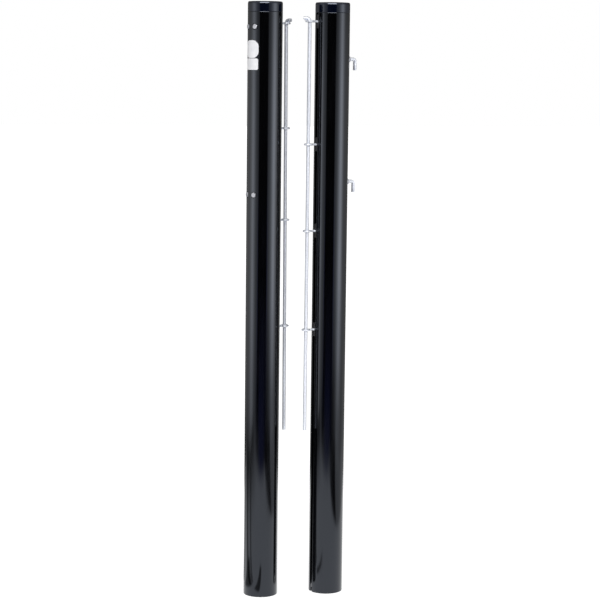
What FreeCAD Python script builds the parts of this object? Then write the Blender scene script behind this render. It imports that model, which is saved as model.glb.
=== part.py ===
import FreeCAD, Part
import math
import os
import re
import Sketcher

# A pair of round net posts. Each post is a slotted tube with a cap, four eyebolts that
# clamp in the slot, and a lacing rod that hangs through the eyes. The left post holds a
# screw tensioner for the net's cable, and the right post has two hooks for its far end.
# Lengths are in mm. The origin is the centre of the left post's foot, +Z is up and the
# right post stands along +X.

DIMENSIONS = {
    # Posts
    "post_length": 1321.0,
    "post_radius": 38.1,
    "wall": 3.2,
    "slot_width": 10.0,
    "edge_chamfer": 0.5,
    "left_x": 0.0,
    "right_x": 151.0,
    "left_turn": 25.5,
    "right_turn": 195.5,
    # Caps
    "cap_height": 22.5,
    "cap_top": 4.0,
    "cap_wall": 3.0,
    "cap_rounding": 4.0,
    "cap_chamfer": 0.7,
    "spigot_depth": 12.0,
    "spigot_clearance": 0.3,
    "spigot_gap": 44.0,
    # Eyebolts: depths below the top of the post
    "left_eye_1": 46.0,
    "left_eye_2": 275.5,
    "left_eye_3": 478.5,
    "left_eye_4": 716.5,
    "right_eye_1": 41.5,
    "right_eye_2": 309.5,
    "right_eye_3": 500.5,
    "right_eye_4": 721.0,
    "eye_wire": 4.8,
    "eye_hole": 5.0,
    "shank_start": 20.5,
    "nut_flats": 9.0,
    "nut_height": 4.5,
    "thread_clearance": 0.05,
    # Slide blocks behind the eyebolts
    "block_length": 30.0,
    "block_width": 20.0,
    "block_inner": 26.5,
    "block_clearance": 0.35,
    "tongue_width": 9.2,
    "tongue_recess": 0.8,
    # Lacing rods: reach is measured from the post's axis at the top eye
    "rod_radius": 3.97,
    "rod_bend": 8.0,
    "rod_rest_gap": 0.3,
    "left_rod_bottom": 953.5,
    "left_rod_reach": 58.0,
    "left_rod_slope": 0.0053,
    "left_rod_bend_angle": 90.0,
    "left_rod_leg": 5.2,
    "left_rod_leg_turn": -76.0,
    "right_rod_bottom": 948.0,
    "right_rod_reach": 57.1,
    "right_rod_slope": 0.0015,
    "right_rod_bend_angle": 104.0,
    "right_rod_leg": 3.6,
    "right_rod_leg_turn": -28.0,
    # Bolts through the left post, on flat round seats cut into its wall
    "bolt_radius": 3.0,
    "bolt_hole": 3.12,
    "bolt_flats": 10.0,
    "bolt_head": 4.0,
    "bolt_length": 10.4,
    "bolt_seat": 35.9,
    "bolt_seat_radius": 7.2,
    "bolt_hole_start": 25.0,
    "bolt_middle": 178.7,
    "bolt_spread": 18.7,
    "upper_bolts_depth": 55.0,
    "lower_bolts_depth": 419.5,
    # Tensioner
    "screw_x": -19.0,
    "screw_radius": 7.0,
    "journal_radius": 5.0,
    "running_clearance": 0.06,
    "thrust_gap": 0.3,
    "drive_flats": 8.0,
    "drive_length": 11.0,
    "bearing_height": 37.0,
    "bearing_width": 36.0,
    "bearing_front": -12.0,
    "bearing_gap": 0.05,
    "ear_inner": 6.5,
    "ear_thickness": 3.5,
    "ear_front": 11.0,
    "ear_height": 24.0,
    "roller_depth": 40.0,
    "roller_x": 4.0,
    "roller_radius": 10.0,
    "roller_groove": 3.0,
    "roller_half": 6.0,
    "pin_radius": 3.0,
    "carriage_back": -30.0,
    "carriage_front": -3.0,
    "carriage_half": 12.0,
    "carriage_height": 30.0,
    "carriage_depth": 128.0,
    "lug_back": -11.5,
    "lug_height": 14.0,
    "cable_pin_x": -7.5,
    "cable_pin_radius": 2.5,
    # Hooks on the right post
    "hook_wire": 7.94,
    "hook_start": 27.0,
    "hook_reach": 57.8,
    "hook_bend": 5.0,
    "hook_drop": 24.1,
    "hook_nut_flats": 12.7,
    "hook_nut_height": 6.0,
    "upper_hook_depth": 122.7,
    "lower_hook_depth": 392.6,
    # Label on the left post
    "label_thickness": 0.2,
    "upper_label_corner": 13.5,
    "upper_label_top": 84.3,
    "upper_label_height": 38.1,
    "upper_label_width": 39.5,
    "lower_label_corner": 3.5,
    "lower_label_top": 123.4,
    "lower_label_height": 24.5,
    "lower_label_width": 38.2,
}

SIDES = ("left", "right")
EYES = (1, 2, 3, 4)
X_AXIS = FreeCAD.Vector(1, 0, 0)
Y_AXIS = FreeCAD.Vector(0, 1, 0)
Z_AXIS = FreeCAD.Vector(0, 0, 1)
UPRIGHT = FreeCAD.Rotation()
ALONG_X = FreeCAD.Rotation(Y_AXIS, 90)
ALONG_Y = FreeCAD.Rotation(X_AXIS, -90)

os.makedirs("parts", exist_ok=True)
doc = FreeCAD.newDocument("net_posts")
sheet = doc.addObject("Spreadsheet::Sheet", "Dimensions")
for row, (alias, value) in enumerate(DIMENSIONS.items(), start=1):
    sheet.set(f"A{row}", alias)
    sheet.set(f"B{row}", str(value))
    sheet.setAlias(f"B{row}", alias)
doc.recompute()

nodes = {}


def formula(text):
    """Writes a formula of dimension names as an expression on the sheet."""

    def on_sheet(match):
        word = match.group()
        return "Dimensions." + word if word in DIMENSIONS else word

    return re.sub(r"[a-z][a-z0-9_]*", on_sheet, str(text))


def number(text):
    """Returns the value of a formula of dimension names."""
    value = sheet.evalExpression(formula(text))
    return float(getattr(value, "Value", value))


def bind(item, **formulas):
    """Drives properties of an item by formulas."""
    for name, text in formulas.items():
        item.setExpression(name, formula(text))


def bind_place(item, x="0", y="0", z="0"):
    """Drives an item's position by formulas."""
    for axis, text in (("x", x), ("y", y), ("z", z)):
        item.setExpression(f".Placement.Base.{axis}", formula(text))


def turned(angle):
    """A rotation about the vertical."""
    return FreeCAD.Rotation(Z_AXIS, angle)


def cylinder(name, radius, height, x="0", y="0", z="0", rotation=UPRIGHT):
    item = doc.addObject("Part::Cylinder", name)
    item.Placement = FreeCAD.Placement(FreeCAD.Vector(), rotation)
    bind(item, Radius=radius, Height=height)
    bind_place(item, x, y, z)
    return item


def box(name, low, high):
    """A block between two corners, each given as three formulas."""
    item = doc.addObject("Part::Box", name)
    bind(
        item,
        Length=f"({high[0]}) - ({low[0]})",
        Width=f"({high[1]}) - ({low[1]})",
        Height=f"({high[2]}) - ({low[2]})",
    )
    bind_place(item, *low)
    return item


def hexagon(name, flats, height, x="0", z="0", rotation=UPRIGHT):
    item = doc.addObject("Part::Prism", name)
    item.Polygon = 6
    item.Placement = FreeCAD.Placement(FreeCAD.Vector(), rotation)
    bind(item, Circumradius=f"({flats}) / sqrt(3)", Height=height)
    bind_place(item, x, "0", z)
    return item


def fused(name, *items):
    item = doc.addObject("Part::MultiFuse", name)
    item.Shapes = list(items)
    item.Refine = True
    return item


def common(name, *items):
    item = doc.addObject("Part::MultiCommon", name)
    item.Shapes = list(items)
    item.Refine = True
    return item


def cut(name, base, *tools):
    item = doc.addObject("Part::Cut", name)
    item.Base = base
    item.Tool = tools[0] if len(tools) == 1 else fused(f"{name}_tools", *tools)
    item.Refine = True
    return item


def gathered(name, *items):
    """Several separate solids under one name."""
    item = doc.addObject("Part::Compound", name)
    item.Links = list(items)
    return item


def node(label, item):
    """Names a finished piece and keeps it for export."""
    item.Label = label
    nodes[label] = item
    return item


def stand(item, side, height="0"):
    """Moves a piece drawn about its post's axis, slot along +X, to its post."""
    item.Placement = FreeCAD.Placement(FreeCAD.Vector(), turned(1))
    bind_place(item, f"{side}_x", "0", height)
    item.setExpression(".Placement.Rotation.Angle", formula(f"{side}_turn"))


def new_body(label):
    body = doc.addObject("PartDesign::Body", label)
    body.Label = label
    return body


def sketch_on(body, name, role, lift="0"):
    """A sketch on one of the body's own origin planes, raised along its normal."""
    plane = next(item for item in body.Origin.OriginFeatures if item.Role == role)
    sketch = body.newObject("Sketcher::SketchObject", name)
    sketch.AttachmentSupport = (plane, [""])
    sketch.MapMode = "FlatFace"
    sketch.setExpression(".AttachmentOffset.Base.z", formula(lift))
    return sketch


def drive(sketch, constraint, text):
    """Adds a driving dimension bound to a formula."""
    index = sketch.addConstraint(constraint)
    sketch.setExpression(f"Constraints[{index}]", formula(text))


def draw_circle(sketch, radius):
    centre = FreeCAD.Vector(0, 0, 0)
    circle = sketch.addGeometry(Part.Circle(centre, Z_AXIS, number(radius)))
    sketch.addConstraint(Sketcher.Constraint("Coincident", circle, 3, -1, 1))
    drive(sketch, Sketcher.Constraint("Radius", circle, number(radius)), radius)


def draw_outline(sketch, corners):
    """Draws a closed outline with every corner set by a pair of formulas."""
    points = [FreeCAD.Vector(number(x), number(y), 0) for x, y in corners]
    following = points[1:] + points[:1]
    lines = [sketch.addGeometry(Part.LineSegment(a, b)) for a, b in zip(points, following)]
    for line, after in zip(lines, lines[1:] + lines[:1]):
        sketch.addConstraint(Sketcher.Constraint("Coincident", line, 2, after, 1))
    for line, (x, y) in zip(lines, corners):
        drive(sketch, Sketcher.Constraint("DistanceX", -1, 1, line, 1, number(x)), x)
        drive(sketch, Sketcher.Constraint("DistanceY", -1, 1, line, 1, number(y)), y)


def draw_bent_path(sketch, run, bend, angle, leg):
    """Draws a straight run up from the origin, a bend towards +X and a straight leg."""
    run_length = number(run)
    radius = number(bend)
    turn = math.radians(number(angle))
    leg_length = number(leg)
    start = FreeCAD.Vector(0, 0, 0)
    bend_start = FreeCAD.Vector(0, run_length, 0)
    centre = FreeCAD.Vector(radius, run_length, 0)
    bend_end = centre + FreeCAD.Vector(-radius * math.cos(turn), radius * math.sin(turn), 0)
    tip = bend_end + FreeCAD.Vector(math.sin(turn), math.cos(turn), 0) * leg_length
    circle = Part.Circle(centre, Z_AXIS, radius)
    straight = sketch.addGeometry(Part.LineSegment(start, bend_start))
    arc = sketch.addGeometry(Part.ArcOfCircle(circle, math.pi - turn, math.pi))
    tail = sketch.addGeometry(Part.LineSegment(bend_end, tip))
    sketch.addConstraint(Sketcher.Constraint("Coincident", straight, 1, -1, 1))
    sketch.addConstraint(Sketcher.Constraint("Vertical", straight))
    sketch.addConstraint(Sketcher.Constraint("Tangent", straight, 2, arc, 2))
    sketch.addConstraint(Sketcher.Constraint("Tangent", arc, 1, tail, 1))
    drive(sketch, Sketcher.Constraint("DistanceY", straight, 1, straight, 2, run_length), run)
    drive(sketch, Sketcher.Constraint("Radius", arc, radius), bend)
    drive(sketch, Sketcher.Constraint("Distance", tail, leg_length), leg)
    end_height = f"{run} + ({bend}) * sin({angle} * 1 deg) + ({leg}) * cos({angle} * 1 deg)"
    drive(sketch, Sketcher.Constraint("DistanceY", -1, 1, tail, 2, tip.y), end_height)
    return [f"Edge{straight + 1}", f"Edge{arc + 1}", f"Edge{tail + 1}"]


def add_pad(body, sketch, length):
    pad = body.newObject("PartDesign::Pad", f"{sketch.Name}_pad")
    pad.Profile = sketch
    bind(pad, Length=length)
    sketch.Visibility = False
    return pad


def add_pocket(body, sketch, length, upward):
    pocket = body.newObject("PartDesign::Pocket", f"{sketch.Name}_pocket")
    pocket.Profile = sketch
    pocket.Reversed = upward
    bind(pocket, Length=length)
    sketch.Visibility = False
    return pocket


def add_revolution(body, sketch):
    revolution = body.newObject("PartDesign::Revolution", f"{sketch.Name}_turning")
    revolution.Profile = sketch
    revolution.ReferenceAxis = (sketch, ["V_Axis"])
    revolution.Angle = 360
    sketch.Visibility = False
    return revolution


def ring_edges(shape, radius, height):
    """Names the round edges of a given radius at a given height."""

    def matches(edge):
        curve = edge.Curve
        if not isinstance(curve, Part.Circle):
            return False
        return abs(curve.Radius - radius) < 0.01 and abs(curve.Center.z - height) < 0.01

    return [f"Edge{i}" for i, edge in enumerate(shape.Edges, start=1) if matches(edge)]


def add_edge_finish(body, kind, name, radius, height, size_name, size):
    """Rounds or bevels the edge rings found at one radius and height."""
    doc.recompute()
    base = body.Tip
    finish = body.newObject(f"PartDesign::{kind}", name)
    finish.Base = (base, ring_edges(base.Shape, number(radius), number(height)))
    finish.setExpression(size_name, formula(size))
    return finish


def bent_bar(label, radius, run, bend, angle, leg):
    """A round bar that runs up +Z from the origin and bends over towards +X."""
    body = new_body(label)
    path = sketch_on(body, f"{label}_path", "XZ_Plane")
    edges = draw_bent_path(path, run, bend, angle, leg)
    section = sketch_on(body, f"{label}_section", "XY_Plane")
    draw_circle(section, radius)
    doc.recompute()
    pipe = body.newObject("PartDesign::AdditivePipe", f"{label}_pipe")
    pipe.Profile = section
    pipe.Spine = (path, edges)
    pipe.Mode = "Standard"
    path.Visibility = False
    section.Visibility = False
    doc.recompute()
    return body


def make_tube(side):
    """The slotted tube, open at both ends, with the slot towards +X."""
    body = new_body(f"{side}_tube_stock")
    ring = sketch_on(body, f"{side}_tube_ring", "XY_Plane")
    draw_circle(ring, "post_radius")
    draw_circle(ring, "post_radius - wall")
    add_pad(body, ring, "post_length - cap_height")
    for end, height in (("foot", "0"), ("head", "post_length - cap_height")):
        name = f"{side}_tube_{end}_bevel"
        add_edge_finish(body, "Chamfer", name, "post_radius", height, "Size", "edge_chamfer")
    slot = sketch_on(body, f"{side}_tube_slot", "XY_Plane")
    half = "slot_width / 2"
    far = "post_radius + 5"
    draw_outline(slot, [("15", f"-{half}"), (far, f"-{half}"), (far, half), ("15", half)])
    add_pocket(body, slot, "post_length", upward=True)
    doc.recompute()
    return body


def make_cap(side):
    """The cap: a hollow band flush with the tube, over a spigot open at the slot."""
    body = new_body(f"{side}_cap")
    profile = sketch_on(body, f"{side}_cap_profile", "XZ_Plane")
    spigot = "post_radius - wall - spigot_clearance"
    inside = f"{spigot} - cap_wall"
    corners = [
        ("0", "cap_height"),
        ("post_radius", "cap_height"),
        ("post_radius", "0"),
        (spigot, "0"),
        (spigot, "-spigot_depth"),
        (inside, "-spigot_depth"),
        (inside, "cap_height - cap_top"),
        ("0", "cap_height - cap_top"),
    ]
    draw_outline(profile, corners)
    add_revolution(body, profile)
    gap = sketch_on(body, f"{side}_cap_gap", "XY_Plane")
    half = "spigot_gap / 2"
    draw_outline(gap, [("15", f"-{half}"), ("40", f"-{half}"), ("40", half), ("15", half)])
    add_pocket(body, gap, "spigot_depth + 1", upward=False)
    name = f"{side}_cap_rounding"
    add_edge_finish(body, "Fillet", name, "post_radius", "cap_height", "Radius", "cap_rounding")
    name = f"{side}_cap_bevel"
    add_edge_finish(body, "Chamfer", name, "post_radius", "0", "Size", "cap_chamfer")
    doc.recompute()
    stand(body, side, "post_length - cap_height")
    node(f"{side}_cap", body)


def make_eyebolt(side, eye):
    """An eyebolt with its slide block and inner nut, drawn about the post's axis."""
    depth = f"{side}_eye_{eye}"
    height = f"post_length - {depth}"
    centre = f"{side}_rod_reach + {side}_rod_slope * ({depth} - {side}_eye_1)"
    tag = f"{side}_{eye}"

    ring = doc.addObject("Part::Torus", f"ring_{tag}")
    bind(ring, Radius1="eye_hole + eye_wire / 2", Radius2="eye_wire / 2")
    bind_place(ring, centre)
    shank_length = f"{centre} - eye_hole - eye_wire / 2 - shank_start"
    shank = cylinder(f"shank_{tag}", "eye_wire / 2", shank_length, "shank_start", rotation=ALONG_X)
    bolt = fused(f"{side}_eyebolt_{eye}", ring, shank)
    stand(bolt, side, height)
    node(f"{side}_eyebolt_{eye}", bolt)

    hole_radius = "eye_wire / 2 + thread_clearance"
    half = "block_length / 2"
    side_half = "block_width / 2"
    flange = box(
        f"flange_{tag}",
        ("block_inner", f"-{side_half}", f"-{half}"),
        ("post_radius", side_half, half),
    )
    bore_face = "post_radius - wall - block_clearance"
    round_back = cylinder(f"round_back_{tag}", bore_face, "block_length", z=f"-{half}")
    curved = common(f"curved_flange_{tag}", flange, round_back)
    tongue = box(
        f"tongue_{tag}",
        ("block_inner", "-tongue_width / 2", f"-{half}"),
        ("post_radius - tongue_recess", "tongue_width / 2", half),
    )
    drill = cylinder(f"drill_{tag}", hole_radius, "40", "block_inner - 5", rotation=ALONG_X)
    slide = cut(f"{side}_slide_block_{eye}", fused(f"block_{tag}", curved, tongue), drill)
    stand(slide, side, height)
    node(f"{side}_slide_block_{eye}", slide)

    nut_x = "block_inner - nut_height"
    nut_blank = hexagon(f"nut_blank_{tag}", "nut_flats", "nut_height", nut_x, rotation=ALONG_X)
    nut_drill = cylinder(f"nut_drill_{tag}", hole_radius, "20", "block_inner - 12", rotation=ALONG_X)
    nut = cut(f"{side}_eye_nut_{eye}", nut_blank, nut_drill)
    stand(nut, side, height)
    node(f"{side}_eye_nut_{eye}", nut)


def make_rod(side):
    """The lacing rod, leaning slightly out from its post towards the bottom."""
    top = f"{side}_eye_1 - eye_wire / 2 - rod_rest_gap - rod_radius"
    bottom = f"{side}_rod_bottom"
    angle = f"{side}_rod_bend_angle"
    run = f"{bottom} - ({top}) - rod_bend"
    rod = bent_bar(f"{side}_rod", "rod_radius", run, "rod_bend", angle, f"{side}_rod_leg")
    slope = number(f"{side}_rod_slope")
    reach = number(f"{side}_rod_reach + {side}_rod_slope * ({bottom} - {side}_eye_1)")
    post = turned(number(f"{side}_turn"))
    lean = FreeCAD.Rotation(Y_AXIS, -math.degrees(math.atan(slope)))
    leg = turned(number(f"{side}_rod_leg_turn"))
    foot = post.multVec(FreeCAD.Vector(reach, 0, 0))
    base = foot + FreeCAD.Vector(number(f"{side}_x"), 0, number(f"post_length - {bottom}"))
    rod.Placement = FreeCAD.Placement(base, post * lean * leg)
    node(f"{side}_rod", rod)


def bolt_turns():
    """The two directions of a bolt pair, about the side of the post away from the slot."""
    middle = number("bolt_middle")
    spread = number("bolt_spread")
    return (middle - spread, middle + spread)


def make_bolt_pair(label, depth):
    bolts = []
    for index, angle in enumerate(bolt_turns(), start=1):
        tag = f"{label}_{index}"
        shank_start = "bolt_seat - bolt_length"
        shank = cylinder(f"{tag}_shank", "bolt_radius", "bolt_length", shank_start, rotation=ALONG_X)
        head = hexagon(f"{tag}_head", "bolt_flats", "bolt_head", "bolt_seat", rotation=ALONG_X)
        bolt = fused(tag, shank, head)
        bolt.Placement = FreeCAD.Placement(FreeCAD.Vector(), turned(angle))
        bolts.append(bolt)
    pair = gathered(label, *bolts)
    stand(pair, "left", f"post_length - {depth}")
    node(label, pair)


def bolt_drills(tag, heights, radius="bolt_hole", start="bolt_hole_start"):
    """Round holes for bolt pairs at the given heights, from a distance off the axis outwards."""
    drills = []
    for height in heights:
        for angle in bolt_turns():
            name = f"{tag}_drill_{len(drills) + 1}"
            drill = cylinder(name, radius, "post_radius", rotation=turned(angle) * ALONG_X)
            start_x = f"{start} * {math.cos(math.radians(angle))}"
            start_y = f"{start} * {math.sin(math.radians(angle))}"
            bind_place(drill, start_x, start_y, height)
            drills.append(drill)
    return drills


def make_bearing(label, depth, with_ears):
    """A block bolted inside the wall, bored for a journal of the lead screw."""
    centre = f"(post_length - {depth})"
    low = f"{centre} - bearing_height / 2"
    high = f"{centre} + bearing_height / 2"
    half = "bearing_width / 2"
    slab = box(
        f"{label}_slab",
        ("-post_radius", f"-{half}", low),
        ("bearing_front", half, high),
    )
    wall_face = "post_radius - wall - bearing_gap"
    round_back = cylinder(f"{label}_round", wall_face, "bearing_height", z=low)
    blank = common(f"{label}_blank", slab, round_back)
    tools = bolt_drills(label, [centre])
    bore_radius = "journal_radius + running_clearance"
    if with_ears:
        roller_z = "post_length - roller_depth"
        ear_low = f"{roller_z} - ear_height / 2"
        ear_high = f"{roller_z} + ear_height / 3"
        outer = "ear_inner + ear_thickness"
        ears = [
            box(
                f"{label}_ear_left",
                ("bearing_front - 1", f"-({outer})", ear_low),
                ("ear_front", "-ear_inner", ear_high),
            ),
            box(
                f"{label}_ear_right",
                ("bearing_front - 1", "ear_inner", ear_low),
                ("ear_front", outer, ear_high),
            ),
        ]
        blank = fused(f"{label}_casting", blank, *ears)
        bore_length = "bearing_height + 20"
        bore_low = f"{low} - 5"
        pin_bore = cylinder(f"{label}_pin_bore", "pin_radius + 0.02", "40", rotation=ALONG_Y)
        bind_place(pin_bore, "roller_x", "-20", roller_z)
        tools.append(pin_bore)
    else:
        bore_length = "bearing_height * 0.75"
        bore_low = f"{high} - {bore_length}"
    tools.append(cylinder(f"{label}_bore", bore_radius, bore_length, "screw_x", z=bore_low))
    block = cut(label, blank, *tools)
    stand(block, "left")
    node(label, block)


def make_screw():
    """The lead screw: thread between the blocks, a journal at each end and a hex drive end."""
    upper_face = "post_length - upper_bolts_depth - bearing_height / 2"
    lower_face = "post_length - lower_bolts_depth + bearing_height / 2"
    thread_low = f"{lower_face} + thrust_gap"
    thread_length = f"{upper_face} - thrust_gap - ({thread_low})"
    thread = cylinder("screw_thread", "screw_radius", thread_length, "screw_x", z=thread_low)
    foot_length = "bearing_height * 0.6"
    foot_low = f"{thread_low} - {foot_length}"
    foot = cylinder("screw_foot", "journal_radius", f"{foot_length} + 1", "screw_x", z=foot_low)
    neck_length = "bearing_height + 2"
    neck_low = f"{upper_face} - thrust_gap"
    neck = cylinder("screw_neck", "journal_radius", neck_length, "screw_x", z=neck_low)
    drive_low = f"{neck_low} + {neck_length}"
    drive_end = hexagon("screw_drive", "drive_flats", "drive_length", "screw_x", drive_low)
    screw = fused("lead_screw", thread, foot, neck, drive_end)
    stand(screw, "left")
    node("lead_screw", screw)


def make_roller():
    """The grooved guide roller and its pin, across the ears of the upper block."""
    body = new_body("guide_roller")
    profile = sketch_on(body, "guide_roller_profile", "XZ_Plane")
    bore = "pin_radius + running_clearance"
    corners = [
        (bore, "-roller_half"),
        ("roller_radius", "-roller_half"),
        ("roller_radius", "-roller_half + 1.5"),
        ("roller_radius - roller_groove", "-1"),
        ("roller_radius - roller_groove", "1"),
        ("roller_radius", "roller_half - 1.5"),
        ("roller_radius", "roller_half"),
        (bore, "roller_half"),
    ]
    draw_outline(profile, corners)
    add_revolution(body, profile)
    doc.recompute()
    post = turned(number("left_turn"))
    base = post.multVec(FreeCAD.Vector(number("roller_x"), 0, number("post_length - roller_depth")))
    body.Placement = FreeCAD.Placement(base, post * ALONG_Y)
    node("guide_roller", body)

    outer = "ear_inner + ear_thickness + 1"
    pin = cylinder("roller_pin_bar", "pin_radius", f"2 * ({outer})", rotation=ALONG_Y)
    bind_place(pin, "roller_x", f"-({outer})", "post_length - roller_depth")
    whole = gathered("roller_pin", pin)
    stand(whole, "left")
    node("roller_pin", whole)


def make_carriage():
    """The travelling nut on the lead screw, with a pin that takes the cable's end loop."""
    top = "(post_length - carriage_depth)"
    low = f"{top} - carriage_height"
    half = "carriage_half"
    blank = box("carriage_blank", ("carriage_back", f"-{half}", low), ("carriage_front", half, top))
    ear_top = f"{top} + lug_height"
    outer = "ear_inner + ear_thickness"
    lugs = [
        box(
            "carriage_lug_left",
            ("lug_back", f"-({outer})", f"{top} - 1"),
            ("carriage_front", "-ear_inner", ear_top),
        ),
        box(
            "carriage_lug_right",
            ("lug_back", "ear_inner", f"{top} - 1"),
            ("carriage_front", outer, ear_top),
        ),
    ]
    bore = cylinder(
        "carriage_bore",
        "screw_radius + running_clearance",
        "carriage_height + 20",
        "screw_x",
        z=f"{low} - 10",
    )
    pin_z = f"{top} + lug_height - 5"
    pin_bore = cylinder("carriage_pin_bore", "cable_pin_radius + 0.02", "40", rotation=ALONG_Y)
    bind_place(pin_bore, "cable_pin_x", "-20", pin_z)
    carriage = cut("carriage", fused("carriage_casting", blank, *lugs), bore, pin_bore)
    stand(carriage, "left")
    node("carriage", carriage)

    pin = cylinder("cable_pin_bar", "cable_pin_radius", f"2 * ({outer})", rotation=ALONG_Y)
    bind_place(pin, "cable_pin_x", f"-({outer})", pin_z)
    whole = gathered("cable_pin", pin)
    stand(whole, "left")
    node("cable_pin", whole)


def make_hook(name, depth):
    """A hook through the wall opposite the slot, with a nut on each side of the wall."""
    run = "hook_reach - hook_start - hook_bend"
    hook = bent_bar(f"{name}_hook", "hook_wire / 2", run, "hook_bend", "90", "hook_drop - hook_bend")
    height = number(f"post_length - {depth}")
    post = turned(number("right_turn"))
    outward = FreeCAD.Rotation(FreeCAD.Vector(0, 0, -1), Y_AXIS, FreeCAD.Vector(-1, 0, 0), "ZXY")
    start = post.multVec(FreeCAD.Vector(-number("hook_start"), 0, height))
    base = start + FreeCAD.Vector(number("right_x"), 0, 0)
    hook.Placement = FreeCAD.Placement(base, post * outward)
    node(f"{name}_hook", hook)

    nuts = []
    inner_face = "-(post_radius - wall - 0.9)"
    for place, x in (("outer", "-post_radius - hook_nut_height"), ("inner", inner_face)):
        tag = f"{name}_{place}"
        blank = hexagon(f"{tag}_nut_blank", "hook_nut_flats", "hook_nut_height", x, rotation=ALONG_X)
        hole = "hook_wire / 2 + thread_clearance"
        drill = cylinder(f"{tag}_nut_drill", hole, "40", "-post_radius - 15", rotation=ALONG_X)
        nuts.append(cut(f"{tag}_nut", blank, drill))
    pair = gathered(f"{name}_hook_nuts", *nuts)
    stand(pair, "right", f"post_length - {depth}")
    node(f"{name}_hook_nuts", pair)


def make_label(name):
    """A thin label wrapped on the side of the left post away from the slot."""
    top = f"post_length - {name}_label_top"
    size = f"{name}_label_height"
    low = f"{top} - {size}"
    outer = cylinder(f"{name}_label_outer", "post_radius + label_thickness", size, z=low)
    inner = cylinder(f"{name}_label_inner", "post_radius", f"{size} + 2", z=f"{low} - 1")
    shell = cut(f"{name}_label_shell", outer, inner)
    half = f"{name}_label_width / 2"
    plate = box(
        f"{name}_label_plate",
        ("-post_radius - 5", f"-{half}", low),
        ("-15", half, top),
    )
    doc.recompute()
    corner = number(f"{name}_label_corner")
    corners = []
    for index, edge in enumerate(plate.Shape.Edges, start=1):
        direction = edge.tangentAt(edge.FirstParameter)
        if abs(direction.x) > 0.99:
            corners.append((index, corner, corner))
    rounded = doc.addObject("Part::Fillet", f"{name}_label_rounded")
    rounded.Base = plate
    rounded.Edges = corners
    label = common(f"{name}_label", shell, rounded)
    stand(label, "left")
    node(f"{name}_label", label)


for post_side in SIDES:
    stock = make_tube(post_side)
    if post_side == "left":
        bolt_heights = [f"post_length - {where}_bolts_depth" for where in ("upper", "lower")]
        holes = bolt_drills("left_tube", bolt_heights)
        holes += bolt_drills("left_tube_seat", bolt_heights, "bolt_seat_radius", "bolt_seat")
    else:
        holes = []
        for where in ("upper", "lower"):
            hook_hole = cylinder(f"{where}_hook_drill", "hook_wire / 2 + 0.3", "20", rotation=ALONG_X)
            bind_place(hook_hole, "-post_radius - 5", z=f"post_length - {where}_hook_depth")
            holes.append(hook_hole)
    tube = cut(f"{post_side}_tube", stock, *holes)
    stand(tube, post_side)
    node(f"{post_side}_tube", tube)
    make_cap(post_side)
    for eye_number in EYES:
        make_eyebolt(post_side, eye_number)
    make_rod(post_side)

for where in ("upper", "lower"):
    make_bearing(f"{where}_bearing", f"{where}_bolts_depth", with_ears=where == "upper")
    make_bolt_pair(f"{where}_bolts", f"{where}_bolts_depth")
    make_hook(where, f"{where}_hook_depth")
    make_label(where)

make_screw()
make_roller()
make_carriage()
doc.recompute()

for item in doc.Objects:
    if "Invalid" in item.State or "Error" in item.State:
        raise RuntimeError(f"{item.Label} did not build: {item.State}")

for label, item in nodes.items():
    shape = item.Shape
    if shape.isNull() or not shape.isValid() or not shape.Solids:
        raise RuntimeError(f"{label} is not a valid solid")
    shape.exportStep(f"parts/{label}.step")
    limits = shape.BoundBox
    print(
        f"{label}: {len(shape.Solids)} solid, {shape.Volume / 1000:.2f} cm3,",
        f"x {limits.XMin:.1f} {limits.XMax:.1f}",
        f"y {limits.YMin:.1f} {limits.YMax:.1f}",
        f"z {limits.ZMin:.1f} {limits.ZMax:.1f}",
    )
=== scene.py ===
import math

import bmesh
import bpy
import numpy as np
from mathutils import Matrix, Vector


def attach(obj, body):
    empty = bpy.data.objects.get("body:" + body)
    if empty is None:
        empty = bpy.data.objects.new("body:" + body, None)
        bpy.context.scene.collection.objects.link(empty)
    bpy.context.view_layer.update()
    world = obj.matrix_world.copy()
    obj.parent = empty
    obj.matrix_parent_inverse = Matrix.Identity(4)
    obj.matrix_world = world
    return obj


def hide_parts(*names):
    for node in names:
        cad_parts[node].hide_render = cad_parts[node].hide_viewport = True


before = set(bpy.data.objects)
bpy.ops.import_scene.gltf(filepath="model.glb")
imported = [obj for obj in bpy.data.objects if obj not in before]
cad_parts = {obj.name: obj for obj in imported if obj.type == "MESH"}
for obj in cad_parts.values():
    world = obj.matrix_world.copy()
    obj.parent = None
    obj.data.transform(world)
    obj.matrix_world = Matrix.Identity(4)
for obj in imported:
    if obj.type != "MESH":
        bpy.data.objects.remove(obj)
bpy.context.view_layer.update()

# A pair of gloss black net posts on a white studio floor. All lengths here are in mm
# unless a name says otherwise, and are turned into metres where a mesh is made.

MM = 0.001
POST_LENGTH = 1321.0
POST_RADIUS = 38.1
WALL = 3.2
SLOT_HALF = 5.0
BOLT_SEAT = 35.9
BOLT_SEAT_RADIUS = 7.2
BOLT_RADIUS = 3.0
BOLT_HOLE_RADIUS = 3.12
BOLT_FLATS = 10.0
BOLT_HEAD = 3.65
BOLT_SHANK = 10.4
BOLT_TURNS = (160.0, 197.4)
BOLT_DEPTHS = {"upper": 55.0, "lower": 419.5}
BEARING_HALF = 18.5
SCREW_PLACE = -19.0
HOOK_DEPTHS = {"upper": 122.7, "lower": 392.6}
HOOK_NUT_FLATS = 12.7
HOOK_NUT_HEIGHT = 6.0
ROLLER_DEPTH = 40.0
ROLLER_PLACE = 4.0
LABELS = {
    "upper": {"top": 84.3, "height": 38.1, "width": 39.5, "corner": 13.5},
    "lower": {"top": 123.4, "height": 24.5, "width": 38.2, "corner": 3.5},
}
CAP_HEIGHT = 22.5
TUBE_TOP = POST_LENGTH - CAP_HEIGHT
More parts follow.
